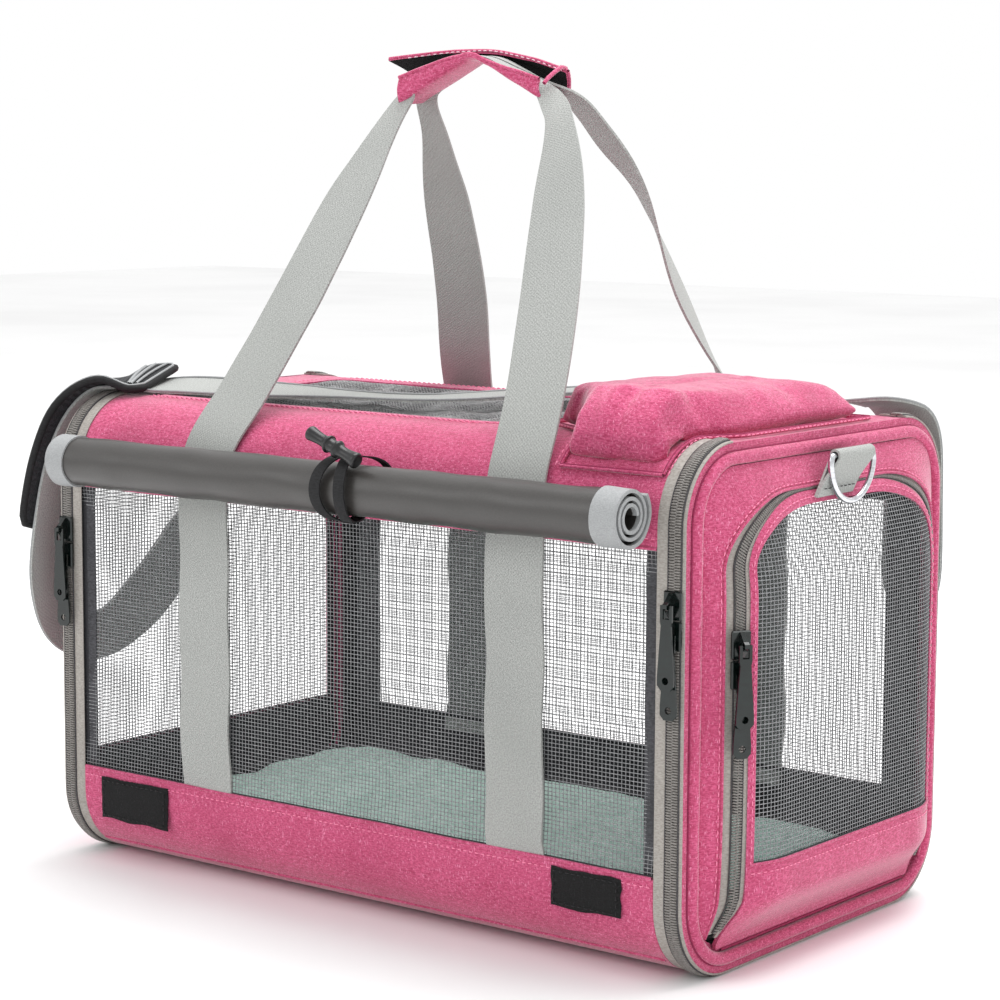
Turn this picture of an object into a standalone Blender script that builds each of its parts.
"""Soft-sided pet carrier bag, built as separate sewn, moulded and wire pieces.

Frame: +X along the length, to the right (the end with the door); -Y is the
front (the side with the rolled cover); +Z up.  The origin is the centre of the
flat bottom.  Lengths are in millimetres and become metres through UNIT.
"""
import math
import bpy
import bmesh
from mathutils import Vector, Matrix

UNIT = 0.001              # metres per millimetre

# ---- driving dimensions ----------------------------------------------------
LENGTHWISE = (("right", 1), ("left", -1))   # the two ends and their sign along X
WIDTH = 260.0             # front to rear
HEIGHT = 280.0            # body height, without the handles
CORNER = 42.0             # corner radius of the end profile
ARC_STEPS = 6             # flats per corner
WIRE_STEPS = 5            # flats per corner of the hoops and piping
GAP = 0.3                 # clearance between neighbouring pieces

SHELL_INSET = 1.3         # outer face of the fabric below the zipper tape
SHELL_T = 2.0             # padded fabric
SHELL_X = 219.4           # fabric ends here along the zipper
TOP_X = 224.4             # fabric ends here at the top seam
LOWER_BAND_TOP = 56.0     # top edge of the lower fabric band
UPPER_BAND_BOTTOM = 227.0 # lower edge of the upper fabric band
NET_T = 0.8               # mesh net

TAPE_T = 1.0              # zipper tape
TAPE_X0 = 208.9           # main zipper tape, inner edge
TAPE_MID0 = 219.7         # end of the inner tape half
TAPE_MID1 = 220.4         # start of the outer tape half
TAPE_X1 = 226.4           # outer tape half ends under the piping
PIPING_R = 3.6
PIPING_INSET = 9.0
PIPING_X = 226.5
PANEL_X0, PANEL_X1 = 224.0, 227.0
PANEL_INSET = 12.9
END_HINGE = (226.5, 277.7)      # x, z of the top seam the end panel folds about

DOOR_HINGE = (226.0, 15.6)      # x, z
DOOR_BOTTOM, DOOR_TOP = 13.7, 250.0
DOOR_SIDE = 93.4          # half width of the door
DOOR_SHOULDER_Z = 213.9
DOOR_CORNER = 60.0
DOOR_FLARE = 7.4          # the door widens by this much at the bottom seam
DOOR_BAND_TOP = 62.0      # lower edge of the door's window
BULGE = 22.7              # the door end stands out this far in its middle

WEB_W = 38.0              # webbing width
WEB_T = 1.2               # webbing thickness
WIRE_R = 1.5              # hoops and D-rings

HALF_Y = WIDTH / 2.0
CORNER_Y = HALF_Y - CORNER      # corner centres at +-CORNER_Y
LOW_CORNER_Z, HIGH_CORNER_Z = CORNER, HEIGHT - CORNER
PANEL_T = PANEL_X1 - PANEL_X0
PANEL_MID = (PANEL_X0 + PANEL_X1) / 2

for old in list(bpy.data.objects):
    bpy.data.objects.remove(old, do_unlink=True)

carrier = bpy.data.collections.new("pet_carrier_bag")
cutters = bpy.data.collections.new("cutters")
bpy.context.scene.collection.children.link(carrier)
bpy.context.scene.collection.children.link(cutters)


# ---- materials -------------------------------------------------------------
def material(name, rgb, roughness, metallic=0.0):
    mat = bpy.data.materials.new(name)
    mat.use_nodes = True
    inputs = mat.node_tree.nodes["Principled BSDF"].inputs
    inputs["Base Color"].default_value = (*rgb, 1.0)
    inputs["Roughness"].default_value = roughness
    inputs["Metallic"].default_value = metallic
    mat.diffuse_color = (*rgb, 1.0)
    return mat


PINK = material("pink_fabric", rgb=(0.66, 0.08, 0.20), roughness=0.85)
WEBBING = material("grey_webbing", rgb=(0.55, 0.56, 0.55), roughness=0.8)
TAPE = material("zip_tape", rgb=(0.30, 0.29, 0.27), roughness=0.75)
MESH = material("mesh_net", rgb=(0.06, 0.06, 0.065), roughness=0.7)
COVER = material("cover_fabric", rgb=(0.09, 0.085, 0.08), roughness=0.55)
BLACK = material("black_trim", rgb=(0.01, 0.01, 0.01), roughness=0.9)
PLASTIC = material("black_plastic", rgb=(0.02, 0.02, 0.022), roughness=0.35)
METAL = material("plated_metal", rgb=(0.55, 0.56, 0.58), roughness=0.2, metallic=1.0)
PULL = material("dark_pull", rgb=(0.02, 0.06, 0.05), roughness=0.18, metallic=0.7)
FLEECE = material("fleece", rgb=(0.38, 0.52, 0.47), roughness=0.95)
BOARD = material("stiffener_board", rgb=(0.08, 0.08, 0.08), roughness=0.8)
PAD = material("pad_fabric", rgb=(0.10, 0.10, 0.10), roughness=0.85)


# ---- outlines and easing ---------------------------------------------------
def metres(point):
    return Vector([c * UNIT for c in point])


def clamp(value):
    return max(0.0, min(1.0, value))


def ease(value):
    """Quarter sine from 0 to 1, level at the top."""
    return math.sin(math.pi / 2 * clamp(value))


def circle(radius, steps, centre=(0.0, 0.0)):
    angles = [2 * math.pi * k / steps for k in range(steps)]
    return [(centre[0] + radius * math.cos(a), centre[1] + radius * math.sin(a)) for a in angles]


def corner_arc(centre_y, centre_z, radius, start, end, steps=ARC_STEPS):
    """Arc from start to end, in degrees."""
    angles = [math.radians(start + (end - start) * k / steps) for k in range(steps + 1)]
    return [(centre_y + radius * math.cos(a), centre_z + radius * math.sin(a)) for a in angles]


def end_profile(inset, steps=ARC_STEPS):
    """Closed end profile (y, z), from the top front corner round the bottom."""
    radius = CORNER - inset
    return (corner_arc(-CORNER_Y, HIGH_CORNER_Z, radius, 90, 180, steps)
            + corner_arc(-CORNER_Y, LOW_CORNER_Z, radius, 180, 270, steps)
            + corner_arc(CORNER_Y, LOW_CORNER_Z, radius, 270, 360, steps)
            + corner_arc(CORNER_Y, HIGH_CORNER_Z, radius, 0, 90, steps))


# ---- object helpers --------------------------------------------------------
def add(name, data, mat, coll=carrier):
    ob = bpy.data.objects.new(name, data)
    coll.objects.link(ob)
    if mat is not None and not len(data.materials):
        data.materials.append(mat)
    return ob


def add_mesh(name, bm, mat, coll=carrier):
    mesh = bpy.data.meshes.new(name)
    bm.to_mesh(mesh)
    bm.free()
    return add(name, mesh, mat, coll)


def thicken(ob, thick, offset, even=False):
    mod = ob.modifiers.new("thickness", "SOLIDIFY")
    mod.thickness = thick * UNIT
    mod.offset = offset
    mod.use_even_offset = even
    return ob


def band(name, profile, x0, x1, thick, mat, centre=(0.0, HEIGHT / 2), closed=False, even=True):
    """A (y, z) profile drawn out along X, thickened towards the centre (y, z)."""
    bm = bmesh.new()
    verts = [bm.verts.new(metres((x0, y, z))) for y, z in profile]
    following = verts[1:] + verts[:1] if closed else verts[1:]
    edges = [bm.edges.new(pair) for pair in zip(verts, following)]
    drawn = bmesh.ops.extrude_edge_only(bm, edges=edges)["geom"]
    moved = [g for g in drawn if isinstance(g, bmesh.types.BMVert)]
    bmesh.ops.translate(bm, verts=moved, vec=((x1 - x0) * UNIT, 0, 0))
    bmesh.ops.recalc_face_normals(bm, faces=bm.faces)
    bm.faces.ensure_lookup_table()
    face = bm.faces[len(bm.faces) // 2]
    middle = face.calc_center_median()
    away = Vector((0, middle.y - centre[0] * UNIT, middle.z - centre[1] * UNIT))
    if face.normal.dot(away) < 0:
        bmesh.ops.reverse_faces(bm, faces=bm.faces)
    return thicken(add_mesh(name, bm, mat), thick, offset=-1.0, even=even)


def box(name, low, high, mat=None, coll=carrier, corner=0.0, segments=1, edge_bevel=0.0):
    """Box between two corners; corner rounds its upright edges, edge_bevel all edges."""
    bm = bmesh.new()
    bmesh.ops.create_cube(bm, size=1.0)
    for v in bm.verts:
        v.co = metres([v.co[i] * (high[i] - low[i]) for i in range(3)])
    if corner:
        upright = [e for e in bm.edges if abs(e.verts[0].co.z - e.verts[1].co.z) > 1e-6]
        bmesh.ops.bevel(bm, geom=upright, offset=corner * UNIT, segments=segments,
                        profile=0.5, affect="EDGES")
    ob = add_mesh(name, bm, mat, coll)
    ob.location = metres([(low[i] + high[i]) / 2 for i in range(3)])
    if edge_bevel:
        mod = ob.modifiers.new("edges", "BEVEL")
        mod.width = edge_bevel * UNIT
        mod.segments = 1
        mod.limit_method = "NONE"
    return ob


def add_spline(curve, points):
    """Closed polyline through 3D points."""
    spline = curve.splines.new("POLY")
    spline.points.add(len(points) - 1)
    for knot, point in zip(spline.points, points):
        knot.co = (*metres(point), 1.0)
    spline.use_cyclic_u = True


def tube(name, points, radius, mat, resolution=1, coll=carrier):
    """Closed loop of round wire or cord."""
    curve = bpy.data.curves.new(name, "CURVE")
    curve.dimensions = "3D"
    curve.bevel_depth = radius * UNIT
    curve.bevel_resolution = resolution
    add_spline(curve, points)
    return add(name, curve, mat, coll)


def plate(name, outlines, thick, mat, matrix, coll=carrier):
    """Flat outline(s) in local XY, thickness centred along local Z."""
    curve = bpy.data.curves.new(name, "CURVE")
    curve.dimensions = "2D"
    curve.fill_mode = "BOTH"
    curve.extrude = thick / 2 * UNIT
    for points in outlines:
        add_spline(curve, [(x, y, 0.0) for x, y in points])
    ob = add(name, curve, mat, coll)
    ob.matrix_world = matrix
    return ob


UPRIGHT = Matrix.Rotation(math.radians(90), 4, "X")     # local (x, y) -> world (x, z)


def across(x):
    """Local (x, y) -> world (y, z), at the given x."""
    turn = Matrix.Rotation(math.radians(90), 4, "Z")
    return Matrix.Translation((x * UNIT, 0, 0)) @ turn @ UPRIGHT


def evaluated_mesh(ob):
    bpy.context.view_layer.update()
    depsgraph = bpy.context.evaluated_depsgraph_get()
    return bpy.data.meshes.new_from_object(ob.evaluated_get(depsgraph))


def curve_to_mesh(ob):
    """Replace a curve object by a welded mesh object of the same name."""
    mesh = evaluated_mesh(ob)
    bm = bmesh.new()
    bm.from_mesh(mesh)
    bmesh.ops.remove_doubles(bm, verts=bm.verts, dist=0.00001)
    bmesh.ops.recalc_face_normals(bm, faces=bm.faces)
    bm.to_mesh(mesh)
    bm.free()
    name, coll = ob.name, ob.users_collection[0]
    mat = ob.data.materials[0] if ob.data.materials else None
    matrix = ob.matrix_world.copy()
    bpy.data.objects.remove(ob, do_unlink=True)
    solid = add(name, mesh, mat, coll)
    solid.matrix_world = matrix
    return solid


def boolean(ob, cutter, operation):
    mod = ob.modifiers.new(operation.lower(), "BOOLEAN")
    mod.operation = operation
    mod.solver = "EXACT"
    mod.object = cutter
    cutter.hide_render = True
    cutter.display_type = "WIRE"


def bake(ob):
    """Fix the evaluated shape into the object's mesh."""
    mesh = evaluated_mesh(ob)
    for mod in list(ob.modifiers):
        ob.modifiers.remove(mod)
    ob.data = mesh
    return ob


def take_mesh(ob):
    """Keep only the object's mesh, in world position, for copies to share."""
    mesh = ob.data
    mesh.transform(ob.matrix_world)
    bpy.data.objects.remove(ob, do_unlink=True)
    return mesh


def smooth_path(points, sub):
    """Catmull-Rom through the given vectors, sub steps per span."""
    path = []
    last = len(points) - 1
    for i in range(last):
        before, start = points[max(i - 1, 0)], points[i]
        end, after = points[i + 1], points[min(i + 2, last)]
        for k in range(sub):
            t = k / sub
            path.append(0.5 * ((2 * start) + (end - before) * t
                               + (2 * before - 5 * start + 4 * end - after) * t * t
                               + (3 * start - before - 3 * end + after) * t ** 3))
    path.append(points[-1].copy())
    return path


def ribbon(name, rows, thick, mat, sub=2):
    """Webbing along rows of (centre, face normal, width)."""
    centres = smooth_path([Vector(row[0]) for row in rows], sub)
    normals = smooth_path([Vector(row[1]) for row in rows], sub)
    widths = smooth_path([Vector((row[2], 0, 0)) for row in rows], sub)
    last = len(centres) - 1
    bm = bmesh.new()
    left, right = [], []
    for i, centre in enumerate(centres):
        along = (centres[min(i + 1, last)] - centres[max(i - 1, 0)]).normalized()
        side = along.cross(normals[i].normalized()).normalized() * (widths[i].x / 2)
        left.append(bm.verts.new(metres(centre - side)))
        right.append(bm.verts.new(metres(centre + side)))
    for i in range(last):
        bm.faces.new((left[i], right[i], right[i + 1], left[i + 1]))
    thicken(add_mesh(name, bm, mat), thick, offset=0.0)


def pivot(name, location):
    empty = bpy.data.objects.new(name, None)
    empty.empty_display_size = 0.01
    empty.location = metres(location)
    carrier.objects.link(empty)
    return empty


def hang(ob, parent):
    """Parent the object without moving it."""
    bpy.context.view_layer.update()
    matrix = ob.matrix_world.copy()
    ob.parent = parent
    ob.matrix_parent_inverse = parent.matrix_world.inverted()
    ob.matrix_world = matrix


# ---- body fabric -----------------------------------------------------------
TOP_OPENING_X = (-190.0, 72.0)
TOP_OPENING_Y = (-86.0, 80.0)
TOP_OPENING_CORNER = 16.0
TOP_NET_INSET = 0.4
TOP_NET_Z = (277.2, 278.4)
SIDE_NET_INSET = 1.5
SIDE_NET_X = 215.0
PER_CORNER = ARC_STEPS + 1      # profile points per corner


def bottom_shell():
    lower = ([(-HALF_Y, LOWER_BAND_TOP)] + end_profile(0.0)[PER_CORNER:3 * PER_CORNER]
             + [(HALF_Y, LOWER_BAND_TOP)])
    reach = TAPE_X0 - GAP
    band("bottom_shell", lower, -reach, reach, SHELL_T, PINK)


def top_opening_box(name, inset, z_range, mat, coll):
    (x0, x1), (y0, y1) = TOP_OPENING_X, TOP_OPENING_Y
    return box(name, (x0 + inset, y0 + inset, z_range[0]), (x1 - inset, y1 - inset, z_range[1]),
               mat, coll, corner=TOP_OPENING_CORNER - inset, segments=3)


def top_shell():
    profile = end_profile(SHELL_INSET)
    face_y = HALF_Y - SHELL_INSET
    upper = ([(face_y, UPPER_BAND_BOTTOM)] + profile[3 * PER_CORNER:] + profile[:PER_CORNER]
             + [(-face_y, UPPER_BAND_BOTTOM)])
    shell = band("top_shell", upper, -TOP_X, TOP_X, SHELL_T, PINK)
    for end in (-1, 1):                 # relief for the outer zipper half
        for side in (-1, 1):
            x0, x1 = sorted((end * SHELL_X, end * 240.0))
            y0, y1 = sorted((side * (CORNER_Y - 1.5), side * 150.0))
            relief = box("relief_%d_%d" % (end + 1, side + 1), (x0, y0, 180.0), (x1, y1, 300.0),
                         coll=cutters)
            boolean(shell, relief, "DIFFERENCE")
    opening = top_opening_box("top_opening", 0.0, (260.0, 300.0), None, cutters)
    boolean(shell, opening, "DIFFERENCE")


def body_nets():
    top_opening_box("top_flap_mesh", TOP_NET_INSET, TOP_NET_Z, MESH, carrier)
    heights = (LOWER_BAND_TOP + GAP, UPPER_BAND_BOTTOM - GAP)
    for side, sign in (("front", -1), ("rear", 1)):
        profile = [(sign * (HALF_Y - SIDE_NET_INSET), z) for z in heights[::sign]]
        band(side + "_mesh", profile, -SIDE_NET_X, SIDE_NET_X, NET_T, MESH)


bottom_shell()
top_shell()
body_nets()

# ---- floor -----------------------------------------------------------------
box("base_board", (-205.0, -91.0, 3.8), (205.0, 91.0, 6.2), BOARD, corner=12.0, segments=2)
box("fleece_mat", (-203.0, -104.0, 7.2), (203.0, 104.0, 34.0), FLEECE, corner=22.0, segments=4)

# ---- storage pocket on the top ---------------------------------------------
POCKET_X = (98.0, 216.5)
POCKET_FRONT_X = 141.0          # the front left corner is cut back for the handle
POCKET_RIGHT_CUT = 10.5         # the front right corner is cut back by this
POCKET_CUT_RUN = 24.0           # both cuts grow over this distance in Y
POCKET_REAR_Y = 64.0
POCKET_ARC = math.radians(52.0) # part of the front corner that it covers
POCKET_RADIUS = CORNER - 0.6
POCKET_ROWS, POCKET_COLUMNS = 12, 9
POCKET_EDGE, POCKET_RISE = 2.0, 20.0    # height at the edge, further rise inside


def pocket_base(u):
    """Point and outward direction (y, z), from the front corner back along the top."""
    curved = POCKET_RADIUS * POCKET_ARC
    distance = u * (curved + CORNER_Y + POCKET_REAR_Y)
    if distance < curved:
        angle = math.pi / 2 + POCKET_ARC - distance / POCKET_RADIUS
        out_y, out_z = math.cos(angle), math.sin(angle)
        return ((-CORNER_Y + POCKET_RADIUS * out_y, HIGH_CORNER_Z + POCKET_RADIUS * out_z),
                (out_y, out_z))
    return (-CORNER_Y + (distance - curved), HIGH_CORNER_Z + POCKET_RADIUS), (0.0, 1.0)


def pocket_height(u, v):
    edge_u = ease(min(u / 0.16, (1 - u) / 0.10)) ** 0.6
    edge_v = ease(min(v / 0.12, (1 - v) / 0.12)) ** 0.6
    dome = 0.80 + 0.20 * math.sin(math.pi * u) * math.sin(math.pi * v)
    return POCKET_EDGE + POCKET_RISE * edge_u * edge_v * dome


def pocket_layer(bm, raised):
    """Rows of vertices: the base on the fabric, or the raised outer face."""
    rows = []
    for i in range(POCKET_ROWS + 1):
        u = i / POCKET_ROWS
        (y, z), (out_y, out_z) = pocket_base(u)
        left = POCKET_X[0] + (POCKET_FRONT_X - POCKET_X[0]) * clamp((-y - 74.0) / POCKET_CUT_RUN)
        right = POCKET_X[1] - POCKET_RIGHT_CUT * clamp((-y - 64.0) / POCKET_CUT_RUN)
        row = []
        for j in range(POCKET_COLUMNS + 1):
            v = j / POCKET_COLUMNS
            height = pocket_height(u, v) if raised else 0.0
            row.append(bm.verts.new(metres((left + (right - left) * v,
                                            y + out_y * height, z + out_z * height))))
        rows.append(row)
    return rows


def treat_pocket():
    bm = bmesh.new()
    base, outer = pocket_layer(bm, False), pocket_layer(bm, True)
    for layer in (base, outer):
        for i in range(POCKET_ROWS):
            for j in range(POCKET_COLUMNS):
                bm.faces.new((layer[i][j], layer[i][j + 1], layer[i + 1][j + 1], layer[i + 1][j]))
    for i in range(POCKET_ROWS):
        for j in (0, POCKET_COLUMNS):
            bm.faces.new((base[i][j], outer[i][j], outer[i + 1][j], base[i + 1][j]))
    for j in range(POCKET_COLUMNS):
        for i in (0, POCKET_ROWS):
            bm.faces.new((base[i][j], outer[i][j], outer[i][j + 1], base[i][j + 1]))
    bmesh.ops.recalc_face_normals(bm, faces=bm.faces)
    add_mesh("treat_pocket", bm, PINK)


treat_pocket()

# ---- rolled front cover, its elastic loop and toggle -----------------------
ROLL_Y, ROLL_Z, ROLL_R = -150.5, 245.0, 17.0
ROLL_LENGTH = 411.0
ROLL_MID_X = 4.5
ROLL_STEPS = 24
LOOP_X = (16.0, 26.0)
LOOP_R = 18.6                   # outer radius of the elastic
TOGGLE_REACH = 24.6             # toggle centre from the roll's axis
TOGGLE_AT = (20.0, ROLL_Y - 0.3 * TOGGLE_REACH, ROLL_Z + 0.954 * TOGGLE_REACH)
TOGGLE_HALF_LENGTH, TOGGLE_R = 17.0, 4.6


def cover_roll():
    bm = bmesh.new()
    bmesh.ops.create_cone(bm, cap_ends=True, segments=ROLL_STEPS, radius1=ROLL_R * UNIT,
                          radius2=ROLL_R * UNIT, depth=ROLL_LENGTH * UNIT)
    roll = add_mesh("front_cover_roll", bm, COVER)
    roll.rotation_euler = (0, math.radians(90), 0)
    roll.location = metres((ROLL_MID_X, ROLL_Y, ROLL_Z))


def toggle():
    bm = bmesh.new()
    bmesh.ops.create_uvsphere(bm, u_segments=12, v_segments=8, radius=1.0)
    for v in bm.verts:
        v.co = metres((v.co.z * TOGGLE_HALF_LENGTH, v.co.x * TOGGLE_R, v.co.y * TOGGLE_R))
    ob = add_mesh("toggle", bm, PLASTIC)
    ob.location = metres(TOGGLE_AT)
    hang(ob, pivot("toggle_axis", TOGGLE_AT))


cover_roll()
band("elastic_loop", circle(LOOP_R, ROLL_STEPS, (ROLL_Y, ROLL_Z)), *LOOP_X, 1.2, BLACK,
     centre=(ROLL_Y, ROLL_Z), closed=True, even=False)
toggle()

# ---- hook-and-loop patches on the lower band -------------------------------
# side, x0, x1, z0, z1
for side, x0, x1, z0, z1 in (("left", -193.5, -138.5, 27.0, 52.0),
                             ("right", 144.0, 189.0, 32.0, 53.0)):
    box("hook_patch_" + side, (x0, -HALF_Y - 1.6, z0), (x1, -HALF_Y - GAP, z1), BLACK)

# ---- carrying handles ------------------------------------------------------
WEB_OUT = 0.9                   # webbing lies this far outside the body
HANDLE_Y = HALF_Y + WEB_OUT
LEAVE_ANGLE = math.radians(25)  # the webbing leaves the corner here
LEAVE_Y = CORNER_Y + (CORNER + WEB_OUT) * math.cos(LEAVE_ANGLE)
LEAVE_Z = HIGH_CORNER_Z + (CORNER + WEB_OUT) * math.sin(LEAVE_ANGLE)

# Free legs. Columns: x, distance from the mid plane, z, normal outward, normal up, width
FRONT_LEFT = [(-96.0, 106.0, 290.0, 0.88, 0.46, 38.0), (-81.0, 80.0, 340.0, 0.88, 0.46, 38.0),
              (-69.0, 50.0, 395.0, 0.88, 0.46, 34.0), (-63.0, 26.0, 432.0, 0.92, 0.38, 20.0)]
FRONT_RIGHT = [(66.0, 26.0, 432.0, 0.92, 0.38, 20.0), (79.0, 52.0, 395.0, 0.88, 0.46, 34.0),
               (95.0, 80.0, 345.0, 0.88, 0.46, 38.0), (110.0, 109.0, 292.0, 0.88, 0.46, 38.0)]
REAR_LEFT = [(-106.0, 106.0, 290.0, 0.88, 0.46, 38.0), (-84.0, 78.0, 342.0, 0.88, 0.46, 38.0),
             (-69.0, 50.0, 395.0, 0.88, 0.46, 34.0), (-60.0, 26.0, 432.0, 0.92, 0.38, 20.0)]
REAR_RIGHT = [(62.0, 26.0, 432.0, 0.92, 0.38, 20.0), (70.0, 50.0, 395.0, 0.88, 0.46, 34.0),
              (82.0, 78.0, 342.0, 0.88, 0.46, 38.0), (98.0, 106.0, 290.0, 0.88, 0.46, 38.0)]
# Under the grip. Columns: x, distance from the mid plane, z, width
GRIP_SPAN = [(-55.0, 12.0, 449.0, 16.0), (-40.0, 8.0, 457.0, 18.0), (-14.0, 8.0, 467.5, 18.0),
             (14.0, 8.0, 467.5, 18.0), (42.0, 8.0, 457.0, 18.0), (57.0, 12.0, 449.0, 16.0)]


def sewn_leg(x, lean):
    """Leg stations going up the body; lean shifts the last one in X."""
    return ([(x, HANDLE_Y, z, 1.0, 0.0, WEB_W) for z in (40.0, 140.0, 225.0)]
            + [(x + lean, LEAVE_Y, LEAVE_Z, 0.90, 0.42, WEB_W)])


def handle(name, sign, left_x, right_x, left_leg, right_leg):
    """One handle; sign is -1 at the front and +1 at the rear."""
    stations = (sewn_leg(left_x, 2.0) + left_leg
                + [(x, y, z, 1.0, 0.0, width) for x, y, z, width in GRIP_SPAN]
                + right_leg + sewn_leg(right_x, -2.0)[::-1])
    rows = [((x, sign * y, z), (0, sign * outward, up), width)
            for x, y, z, outward, up, width in stations]
    ribbon(name, rows, WEB_T, WEBBING)


handle("front_handle", -1, -107.0, 119.0, FRONT_LEFT, FRONT_RIGHT)
handle("rear_handle", 1, -118.0, 104.0, REAR_LEFT, REAR_RIGHT)

GRIP_X = (-47.0, 49.0)
GRIP_STEPS = 8
GRIP_T = 2.0
# Sections. Columns: y, height above the grip's middle line
WRAP_SECTION = [(-15.5, 6.0), (-14.5, -8.0), (-9.0, -13.5), (9.0, -13.5), (14.5, -9.5)]
FLAP_SECTION = [(15.6, -6.6), (17.0, 4.0), (20.5, 17.0)]


def grip_line(x):
    """Height of the grip's middle: an inverted V with a soft peak."""
    return 449.0 + 19.5 * (1.0 - math.sqrt((x / 55.0) ** 2 + 0.02)) + 1.5


def grip_sheet(name, section):
    bm = bmesh.new()
    rows = []
    for i in range(GRIP_STEPS + 1):
        x = GRIP_X[0] + (GRIP_X[1] - GRIP_X[0]) * i / GRIP_STEPS
        rows.append([bm.verts.new(metres((x, y, grip_line(x) + rise))) for y, rise in section])
    for row, following in zip(rows, rows[1:]):
        for j in range(len(section) - 1):
            bm.faces.new((row[j], following[j], following[j + 1], row[j + 1]))
    return thicken(add_mesh(name, bm, PINK), GRIP_T, offset=0.0)


grip_sheet("grip_wrap", WRAP_SECTION)
hang(grip_sheet("grip_flap", FLAP_SECTION), pivot("grip_flap_axis", (0, 15.5, 450.0)))

# ---- shoulder strap --------------------------------------------------------
LEFT, UP, REAR = (-1, 0, 0), (0, 0, 1), (0, 1, 0)
# From the left hook over the top to the rear hook. Columns: centre, face normal, width
STRAP_ROWS = [
    ((-236.8, 2.0, 200.0), LEFT, 24.0), ((-239.0, -12.0, 178.0), LEFT, 36.0),
    ((-242.5, -42.0, 146.0), LEFT, 38.0), ((-245.5, -78.0, 126.0), LEFT, 30.0),
    ((-247.5, -108.0, 136.0), LEFT, 30.0), ((-248.5, -119.0, 165.0), LEFT, 38.0),
    ((-248.0, -116.0, 200.0), LEFT, 38.0), ((-245.5, -107.0, 240.0), LEFT, 38.0),
    ((-239.0, -95.0, 271.0), (-0.9, 0, 0.4), 38.0),
    ((-222.0, -80.0, 286.5), (-0.4, 0, 0.9), 38.0), ((-190.0, -64.0, 286.5), UP, 38.0),
    ((-130.0, -52.0, 284.0), UP, 38.0), ((-70.0, -42.0, 283.0), UP, 38.0),
    ((-20.0, -22.0, 283.5), UP, 38.0), ((14.0, 22.0, 284.5), UP, 36.0),
    ((36.0, 70.0, 284.5), UP, 34.0), ((72.0, 85.0, 284.0), UP, 32.0),
    ((120.0, 86.0, 284.0), UP, 32.0), ((168.0, 90.0, 284.5), UP, 34.0),
    ((194.0, 108.0, 284.0), (0, 0.3, 0.9), 34.0), ((200.0, 126.0, 279.0), (0, 0.7, 0.7), 38.0),
    ((201.0, 139.0, 262.0), REAR, 38.0), ((201.0, 142.0, 225.0), REAR, 38.0),
    ((201.0, 142.0, 180.0), REAR, 38.0), ((201.0, 142.0, 159.0), REAR, 24.0)]
PAD_ROWS = [
    ((-252.4, -117.0, 196.0), LEFT, 52.0), ((-251.2, -110.0, 232.0), LEFT, 52.0),
    ((-246.0, -100.0, 266.0), (-0.95, 0, 0.3), 52.0),
    ((-232.0, -86.0, 287.0), (-0.6, 0, 0.8), 52.0),
    ((-208.0, -71.0, 292.3), (-0.1, 0, 1), 52.0), ((-192.0, -64.5, 291.8), UP, 52.0)]
# Hook loop centres and rotations; the right one hangs eye upwards on the rear face
STRAP_HOOKS = (("left", (-237.4, 2.0, 246.6), (0, 0, 0)),
               ("right", (201.0, 142.0, 118.0), (math.radians(180), 0, math.radians(90))))


def hook_mesh():
    """Snap hook: loop in local XZ around the origin, stem and eye bar below it."""
    loop = curve_to_mesh(tube("hook_loop", [(x, 0.0, z) for x, z in circle(7.9, 16)], 1.6,
                              METAL, coll=cutters))
    stem = box("hook_stem", (-3.4, -3.4, -38.0), (3.4, 3.4, -7.4), coll=cutters, edge_bevel=0.9)
    boolean(loop, stem, "UNION")
    eye = box("hook_eye", (-3.0, -13.0, -38.6), (3.0, 13.0, -33.6), coll=cutters, edge_bevel=0.8)
    boolean(loop, eye, "UNION")
    return take_mesh(bake(loop))


ribbon("strap_webbing", STRAP_ROWS, WEB_T, WEBBING)
ribbon("shoulder_pad", PAD_ROWS, 5.0, PAD, sub=3)
snap_hook = hook_mesh()
for side, location, rotation in STRAP_HOOKS:
    hook = add("strap_hook_" + side, snap_hook, METAL)
    hook.location = metres(location)
    hook.rotation_euler = rotation
    hang(hook, pivot("strap_hook_%s_axis" % side, location))

# ---- wire hoops that hold the end openings ---------------------------------
HOOP_X, HOOP_INSET = 216.0, 5.6
for side, sign in LENGTHWISE:
    tube("hoop_" + side, [(sign * HOOP_X, y, z) for y, z in end_profile(HOOP_INSET, WIRE_STEPS)],
         WIRE_R, METAL, resolution=0)

# ---- zipper sliders and pulls ----------------------------------------------
HOLE_R = 1.3              # hole in the slider's bail
BAIL_R = 1.9
BAIL_RISE = 1.7           # bail hole above the slider base
BASE_T = 2.4              # slider base
BASE_OUT = GAP + BASE_T   # outer face of the slider base above the tape
STACK = 15.6              # distance between two sliders parked together
STEP_OUT = 2.8            # the upper tab hangs this much further out
SMALL = 0.8               # scale of the top zipper's slider
END_PARK_Z = 200.0        # upper slider of each pair
DOOR_PARK_Z = 178.0


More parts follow.
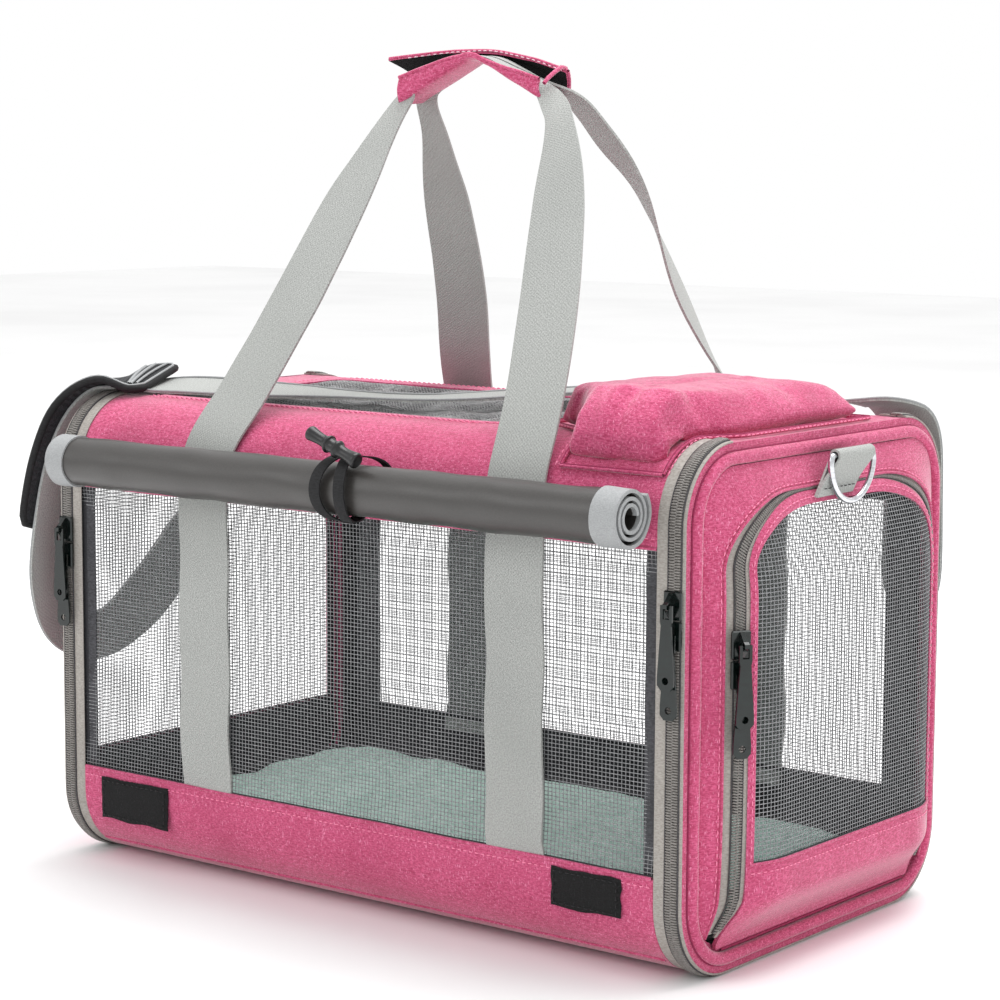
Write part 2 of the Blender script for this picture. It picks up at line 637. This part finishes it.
def slider_mesh(rise, scale=1.0):
    """Width along X, chain along Z, outward -Y; the bail's hole is the origin."""
    # side view: x is outward, y runs along the chain
    arch = [(-rise - 0.6, 6.6), (-rise + 0.9, 6.4), (0.2, 2.2), (BAIL_R, 1.1), (BAIL_R, -1.1),
            (0.2, -2.2), (-rise + 0.9, -6.4), (-rise - 0.6, -6.6)]
    outlines = [[(x * scale, y * scale) for x, y in points]
                for points in (arch, circle(HOLE_R, 8))]
    matrix = Matrix.Rotation(math.radians(-90), 4, "Z") @ UPRIGHT
    bail = curve_to_mesh(plate("bail", outlines, 2.6 * scale, PULL, matrix, cutters))
    base = box("slider_base", (-5.4 * scale, rise * scale, -7.6 * scale),
               (5.4 * scale, (rise + BASE_T) * scale, 7.2 * scale),
               coll=cutters, edge_bevel=0.7 * scale)
    boolean(bail, base, "UNION")
    mesh = take_mesh(bake(bail))
    bpy.data.objects.remove(base, do_unlink=True)
    return mesh


def pull_mesh(length, width):
    """Flat tab hanging along -Z from the crossbar at the origin."""
    neck, wide = width * 0.36, width * 0.5
    top, low = 0.55, -length
    half = [(neck, top), (neck, -8.0), (neck * 0.85, -10.0), (wide, low + 7.0),
            (wide, low + 2.5), (wide * 0.55, low)]
    outline = [(-x, z) for x, z in half] + half[::-1]
    slot = [(-1.9, -0.55), (-1.9, -6.6), (1.9, -6.6), (1.9, -0.55)]
    hole = circle(2.0, 8, (0.0, low + 5.0))
    return take_mesh(curve_to_mesh(plate("tab", [outline, slot, hole], 1.1, PULL, UPRIGHT,
                                         cutters)))


def zip_end(name, location, rotation, slider, pull):
    """A slider whose bail hole is at location, and the tab that hangs in it."""
    axis = pivot(name + "_axis", location)
    axis.rotation_euler = rotation
    for part, mesh in (("slider", slider), ("pull", pull)):
        ob = add(name + "_" + part, mesh, None)
        ob.location = metres(location)
        ob.rotation_euler = rotation
        hang(ob, axis)
    return axis


pull_big = pull_mesh(43.0, 10.0)
# Sliders parked as a pair: row, distance below the upper one, bail rise, mesh
PARKED = (("upper", 0.0, BAIL_RISE + STEP_OUT, slider_mesh(BAIL_RISE + STEP_OUT)),
          ("lower", STACK, BAIL_RISE, slider_mesh(BAIL_RISE)))
for side, sign in LENGTHWISE:
    for row, drop, rise, slider in PARKED:
        zip_end("end_%s_%s" % (side, row),
                (sign * (TAPE_MID0 + TAPE_MID1) / 2.0, -(HALF_Y + BASE_OUT + rise),
                 END_PARK_Z - drop), (0, 0, 0), slider, pull_big)
zip_end("top_zip",
        (TOP_OPENING_X[0] + 1.0, 4.0, HEIGHT - SHELL_INSET + (BASE_OUT + BAIL_RISE) * SMALL),
        (math.radians(-90), 0, 0), slider_mesh(BAIL_RISE, SMALL), pull_mesh(27.0, 7.6))

# ---- shape of the door end -------------------------------------------------
SWELL_CELL = 17.0         # cell size of the swollen pieces


def door_half(z):
    """Half width of the door's edge at height z; it flares at the bottom."""
    return DOOR_SIDE + DOOR_FLARE * math.exp(-(z - 13.0) / 18.0)


def bulge(y, z):
    """How far the door end stands out at (y, z); nothing at its seams."""
    low = clamp((z - 15.0) / 30.0)
    return (BULGE * ease((117.5 - abs(y)) / 51.0) * low * low * (3 - 2 * low)
            * ease((271.0 - z) / 74.7))


def swell(ob):
    """Cut the flat piece into small cells and press it out by the bulge."""
    ob = curve_to_mesh(ob) if ob.type == "CURVE" else bake(ob)
    mesh = ob.data
    mesh.transform(ob.matrix_world)
    ob.matrix_world = Matrix.Identity(4)
    bm = bmesh.new()
    bm.from_mesh(mesh)
    for axis, low, high in ((1, -110.0, 110.0), (2, 22.0, 264.0)):
        cells = int(round((high - low) / SWELL_CELL))
        normal = Vector((0, 0, 0))
        normal[axis] = 1.0
        for k in range(cells + 1):
            cut = normal * ((low + (high - low) * k / cells) * UNIT)
            bmesh.ops.bisect_plane(bm, geom=bm.verts[:] + bm.edges[:] + bm.faces[:], dist=1e-6,
                                   plane_co=cut, plane_no=normal)
    bmesh.ops.triangulate(bm, faces=bm.faces)
    for v in bm.verts:
        v.co.x += bulge(v.co.y / UNIT, v.co.z / UNIT) * UNIT
    bm.to_mesh(mesh)
    bm.free()
    return ob


def door_outline(grow, bottom, top_grow, side_steps=9, arc_steps=7):
    """Arch in (y, z), grown sideways by grow and upwards by top_grow."""
    half = []
    for k in range(side_steps + 1):
        z = bottom + (DOOR_SHOULDER_Z - bottom) * (k / side_steps) ** 1.5
        y = door_half(z) + grow
        if grow <= 0.0:                 # stay inside the panel's rounded corner
            radius = CORNER - PANEL_INSET - 0.4
            reach = math.sqrt(max(0.0, radius ** 2 - max(0.0, CORNER - z) ** 2))
            y = min(y, CORNER_Y + reach)
        half.append((min(y, 200.0), z))
    centre_y = DOOR_SIDE + grow - DOOR_CORNER
    arch_rise = DOOR_TOP + top_grow - DOOR_SHOULDER_Z
    for k in range(1, arc_steps + 1):
        angle = math.radians(90 * k / arc_steps)
        half.append((centre_y + DOOR_CORNER * math.cos(angle),
                     DOOR_SHOULDER_Z + arch_rise * math.sin(angle)))
    return half + [(-y, z) for y, z in reversed(half)]


# ---- the two ends ----------------------------------------------------------
# Left window: half width, bottom, top, corner radius
WINDOW_HALF, WINDOW_BOTTOM, WINDOW_TOP, WINDOW_CORNER = 112.0, 60.0, 240.0, 30.0
# D-rings: x and z of the bar, y of the middle, tab width, half length of the bar,
# depth of the bow, and the tab's fold in side view (x outward, z)
RINGS = {
    "right": dict(bar=(243.6, 267.2), mid_y=1.0, tab_width=36.0, half_bar=20.5, depth=10.0, tab=[
        (238.4, 253.0), (238.2, 259.0), (239.6, 267.4), (241.4, 270.3), (244.3, 270.9),
        (246.7, 269.3), (247.2, 266.7), (245.7, 264.0), (243.0, 263.2), (241.5, 261.6),
        (241.2, 253.0)]),
    "left": dict(bar=(233.5, 262.8), mid_y=2.0, tab_width=23.0, half_bar=14.5, depth=11.8, tab=[
        (227.4, 253.0), (227.4, 265.6), (231.6, 266.4), (234.6, 266.2), (236.4, 264.6),
        (236.6, 261.4), (233.4, 259.4), (230.0, 255.5), (229.6, 253.0)])}


def end_tape(name, sign, x0, x1):
    low, high = sorted((sign * x0, sign * x1))
    return band(name, end_profile(0.0), low, high, TAPE_T, TAPE)


def right_panel(hinge):
    """Arch-shaped frame: the doorway is open at the bottom seam."""
    doorway = curve_to_mesh(plate("doorway", [door_outline(13.0, 0.0, 2.2)], 20.0, None,
                                  across(PANEL_MID), cutters))
    panel = curve_to_mesh(plate("end_panel_right", [end_profile(PANEL_INSET)], PANEL_T, PINK,
                                across(PANEL_MID)))
    boolean(panel, doorway, "DIFFERENCE")
    hang(swell(panel), hinge)


def left_window(inset):
    centre_y, centre_z = WINDOW_HALF - WINDOW_CORNER, WINDOW_TOP - WINDOW_CORNER
    radius = WINDOW_CORNER - inset
    foot_y, foot_z = WINDOW_HALF - inset, WINDOW_BOTTOM + inset
    return ([(foot_y, foot_z)] + corner_arc(centre_y, centre_z, radius, 0, 90)
            + corner_arc(-centre_y, centre_z, radius, 90, 180) + [(-foot_y, foot_z)])


def left_panel(hinge):
    matrix = across(-PANEL_MID)
    hang(plate("end_window_mesh_left", [left_window(GAP)], NET_T, MESH, matrix), hinge)
    hang(plate("end_panel_left", [end_profile(PANEL_INSET), left_window(0.0)], PANEL_T, PINK,
               matrix), hinge)


def ring_and_tab(side, sign, hinge):
    """Folded webbing tab with the ring's bar running through the fold."""
    spec = RINGS[side]
    bar_x, bar_z = spec["bar"]
    mid_y, half_bar = spec["mid_y"], spec["half_bar"]
    outlines = [[(sign * x, z) for x, z in points]
                for points in (spec["tab"], circle(2.0, 10, (bar_x, bar_z)))]
    matrix = Matrix.Translation((0, mid_y * UNIT, 0)) @ UPRIGHT
    hang(plate("ring_tab_" + side, outlines, spec["tab_width"], WEBBING, matrix), hinge)

    axis = pivot("d_ring_%s_axis" % side, (sign * bar_x, mid_y, bar_z))
    path = [(mid_y - half_bar, bar_z), (mid_y + half_bar, bar_z)]
    for degrees in range(0, 181, 20):
        angle = math.radians(degrees)
        path.append((mid_y + (half_bar + 1.0) * math.cos(angle),
                     bar_z - 2.4 - spec["depth"] * math.sin(angle)))
    hang(tube("d_ring_" + side, [(sign * bar_x, y, z) for y, z in path], WIRE_R, METAL), axis)
    hang(axis, hinge)


end_hinges = {}
for side, sign in LENGTHWISE:
    end_tape("zip_tape_%s_inner" % side, sign, TAPE_X0, TAPE_MID0)
    hinge = pivot("end_%s_hinge" % side, (sign * END_HINGE[0], 0, END_HINGE[1]))
    end_hinges[side] = hinge
    hang(end_tape("zip_tape_%s_outer" % side, sign, TAPE_MID1, TAPE_X1), hinge)
    piping = [(sign * PIPING_X, y, z) for y, z in end_profile(PIPING_INSET, WIRE_STEPS)]
    hang(tube("end_piping_" + side, piping, PIPING_R, PINK), hinge)
    if side == "right":
        right_panel(hinge)
    else:
        left_panel(hinge)
    ring_and_tab(side, sign, hinge)


# ---- door in the right end -------------------------------------------------
def door(end_hinge):
    axis = pivot("door_right_hinge", (DOOR_HINGE[0], 0, DOOR_HINGE[1]))
    matrix = across(PANEL_MID)
    leaf = door_outline(0.0, DOOR_BOTTOM, 0.0)
    window = door_outline(-4.0, DOOR_BAND_TOP, -6.5)
    hang(swell(plate("door_panel_right", [leaf, window], PANEL_T, PINK, matrix)), axis)
    net = door_outline(-4.3, DOOR_BAND_TOP + GAP, -6.8)
    hang(swell(plate("door_mesh_right", [net], NET_T, MESH, matrix)), axis)
    hang(axis, end_hinge)


def door_tape(end_hinge):
    """The frame half of the door's zipper, behind the panel along the doorway."""
    chain = door_outline(0.4, 19.0, -3.0)
    back = door_outline(15.5, 25.0, 7.0)
    hang(swell(plate("door_zip_tape_right", [back + chain[::-1]], 1.2, TAPE, across(222.9))),
         end_hinge)


def door_sliders(end_hinge):
    """Sliders outside the panel's face, turned square to the swollen tape."""
    tape_y, level = DOOR_SIDE + 6.0, 150.0
    slope = math.atan((bulge(tape_y - 1.0, level) - bulge(tape_y + 1.0, level)) / 2.0)
    face_x = PANEL_X1 + bulge(tape_y, level)
    for row, drop, rise, slider in PARKED:
        off = BASE_OUT + 0.6 + rise
        location = (face_x + off * math.cos(slope), -tape_y - off * math.sin(slope),
                    DOOR_PARK_Z - drop)
        axis = zip_end("door_right_" + row, location, (0, 0, math.radians(90) - slope),
                       slider, pull_big)
        hang(axis, end_hinge)


door(end_hinges["right"])
door_tape(end_hinges["right"])
door_sliders(end_hinges["right"])

# ---- smooth shading with sharp folds ---------------------------------------
for ob in carrier.objects:
    if ob.type == "MESH":
        ob.data.shade_smooth()
        ob.data.set_sharp_from_angle(angle=math.radians(35))
